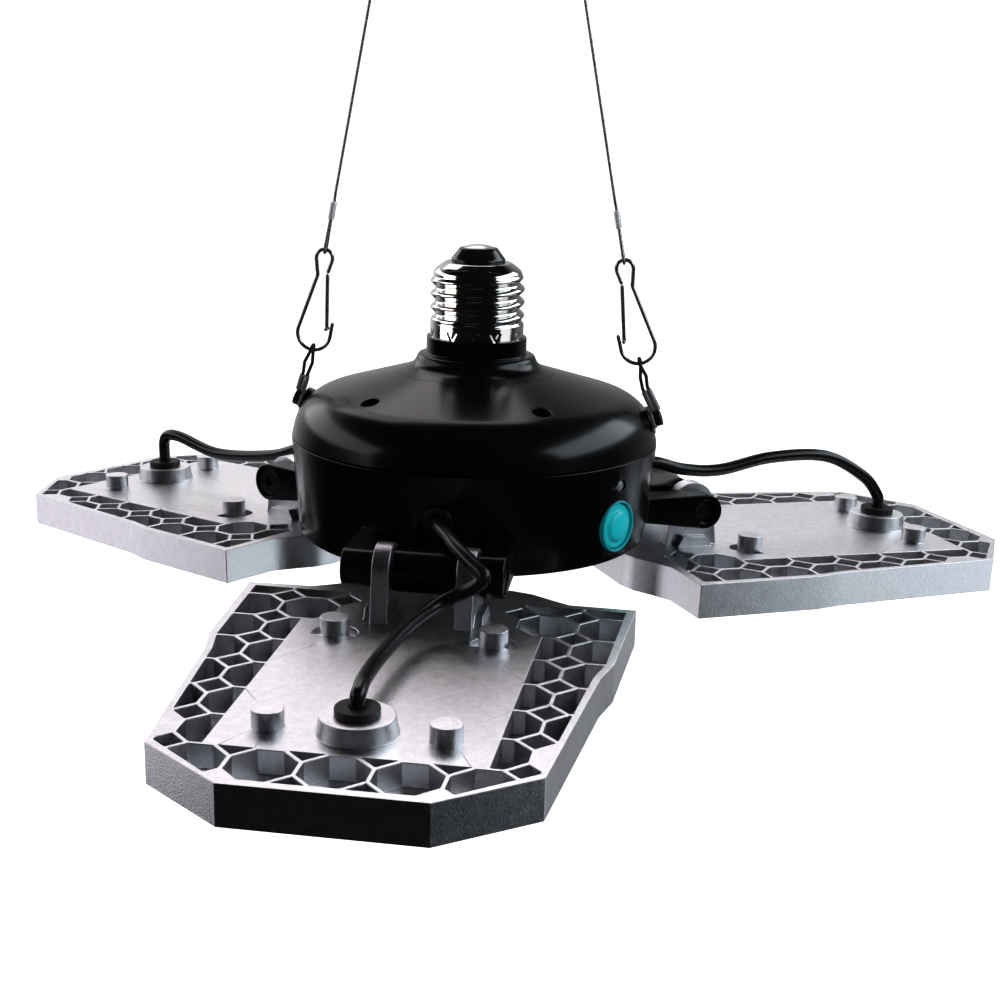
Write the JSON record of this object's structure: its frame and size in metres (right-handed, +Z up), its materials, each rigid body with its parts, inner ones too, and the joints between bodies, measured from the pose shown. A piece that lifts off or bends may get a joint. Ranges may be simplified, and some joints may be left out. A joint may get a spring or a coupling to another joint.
{
  "type": "folding garage ceiling light",
  "caption": "Screw-in ceiling light: a round hub with a threaded base, hinged finned lamp panels that fold, a push button, and safety ropes clipped on by snap hooks.",
  "frame": {"origin": "tip of the screw base's centre contact, on the hub's axis", "axes": "+Z up along the screw base; -Y toward the front panel; +X toward the right rope"},
  "size_m": [0.3068, 0.2755, 0.1851],
  "materials": {
    "contact_nickel": "polished nickel plate",
    "insulator_black": "gloss",
    "shell_nickel": "polished nickel plate",
    "hub_black": "satin, fine grain",
    "screw_steel": "zinc plated",
    "button_teal": "satin silicone",
    "switch_black": "matt",
    "board_green": "solder mask",
    "indicator_clear": "clear",
    "wire_red": "satin",
    "transformer_yellow": "tape wrapped",
    "capacitor_dark": "sleeved",
    "cell_blue": "sleeved",
    "cradle_grey": "matt",
    "rubber_black": "satin",
    "anchor_black": "black zinc",
    "cord_black": "braided",
    "hook_nickel": "nickel plate",
    "rope_steel": "stranded",
    "ferrule_alloy": "pressed",
    "cast_aluminium": "die cast, fine grain",
    "led_board_white": "white solder mask",
    "led_yellow": "phosphor",
    "diffuser_white": "frosted",
    "lead_black": "satin"
  },
  "bodies": {
    "hub": {"contact_tip": "contact_nickel", "base_insulator": "insulator_black", "screw_shell": "shell_nickel", "top_cover": "hub_black", "lower_housing": "hub_black", "cover_screws": "screw_steel", "button_membrane": "button_teal", "button_switch": "switch_black", "switch_board": "board_green", "indicator_led": "indicator_clear", "base_wires": "wire_red", "driver_board": "board_green", "driver_transformer": "transformer_yellow", "driver_capacitors": "capacitor_dark", "driver_chips": "switch_black", "board_screws": "screw_steel", "battery_cells": "cell_blue", "battery_cradle": "cradle_grey", "lead_grommets": "rubber_black", "hinge_bolts": "screw_steel", "hinge_nuts": "screw_steel", "anchor_screws": "anchor_black", "anchor_lugs": "anchor_black", "cord_loop_left": "cord_black", "cord_loop_right": "cord_black"},
    "button": {"push_button": "button_teal"},
    "hook_left": {"snap_hook_left": "hook_nickel", "rope_left": "rope_steel", "rope_ferrules_left": "ferrule_alloy", "rope_thimble_left": "hook_nickel"},
    "gate_left": {"hook_gate_left": "hook_nickel"},
    "hook_right": {"snap_hook_right": "hook_nickel", "rope_right": "rope_steel", "rope_ferrules_right": "ferrule_alloy", "rope_thimble_right": "hook_nickel"},
    "gate_right": {"hook_gate_right": "hook_nickel"},
    "panel_front": {"heat_sink_front": "cast_aluminium", "led_board_front": "led_board_white", "led_chips_front": "led_yellow", "lens_front": "diffuser_white", "lens_screws_front": "screw_steel", "gland_front": "rubber_black", "lead_front": "lead_black"},
    "panel_right": {"heat_sink_right": "cast_aluminium", "led_board_right": "led_board_white", "led_chips_right": "led_yellow", "lens_right": "diffuser_white", "lens_screws_right": "screw_steel", "gland_right": "rubber_black", "lead_right": "lead_black"},
    "panel_left": {"heat_sink_left": "cast_aluminium", "led_board_left": "led_board_white", "led_chips_left": "led_yellow", "lens_left": "diffuser_white", "lens_screws_left": "screw_steel", "gland_left": "rubber_black", "lead_left": "lead_black"}
  },
  "joints": [
    {"name": "panel_front_hinge", "type": "hinge", "parent": "hub", "child": "panel_front", "pos_m": [0, -0.0636, -0.0751], "axis": [-1, 0, 0], "range_deg": [-10, 92], "deforming": ["lead_front"]},
    {"name": "panel_right_hinge", "type": "hinge", "parent": "hub", "child": "panel_right", "pos_m": [0.05508, 0.0318, -0.0751], "axis": [0.5, -0.866, 0], "range_deg": [-10, 92], "deforming": ["lead_right"]},
    {"name": "panel_left_hinge", "type": "hinge", "parent": "hub", "child": "panel_left", "pos_m": [-0.05508, 0.0318, -0.0751], "axis": [0.5, 0.866, 0], "range_deg": [-10, 92], "deforming": ["lead_left"]},
    {"name": "button_press", "type": "slide", "parent": "hub", "child": "button", "axis": [-0.8704, 0.4924, 0], "range_m": [0, 0.0012], "stiffness_N_per_m": 300, "springref_m": -0.001},
    {"name": "hook_left_swing", "type": "hinge", "parent": "hub", "child": "hook_left", "pos_m": [-0.0473, 0, -0.0317], "axis": [0, -1, 0], "range_deg": [-6, 15]},
    {"name": "gate_left_spring", "type": "hinge", "parent": "hook_left", "child": "gate_left", "pos_m": [-0.04277, 0, -0.01053], "axis": [0, 1, 0], "range_deg": [0, 18], "stiffness_Nm_per_rad": 0.001, "springref_deg": -8.59},
    {"name": "hook_right_swing", "type": "hinge", "parent": "hub", "child": "hook_right", "pos_m": [0.0458, 0, -0.0307], "axis": [0, 1, 0], "range_deg": [-6, 15]},
    {"name": "gate_right_spring", "type": "hinge", "parent": "hook_right", "child": "gate_right", "pos_m": [0.03989, 0, -0.00987], "axis": [0, -1, 0], "range_deg": [0, 18], "stiffness_Nm_per_rad": 0.001, "springref_deg": -8.59}
  ]
}
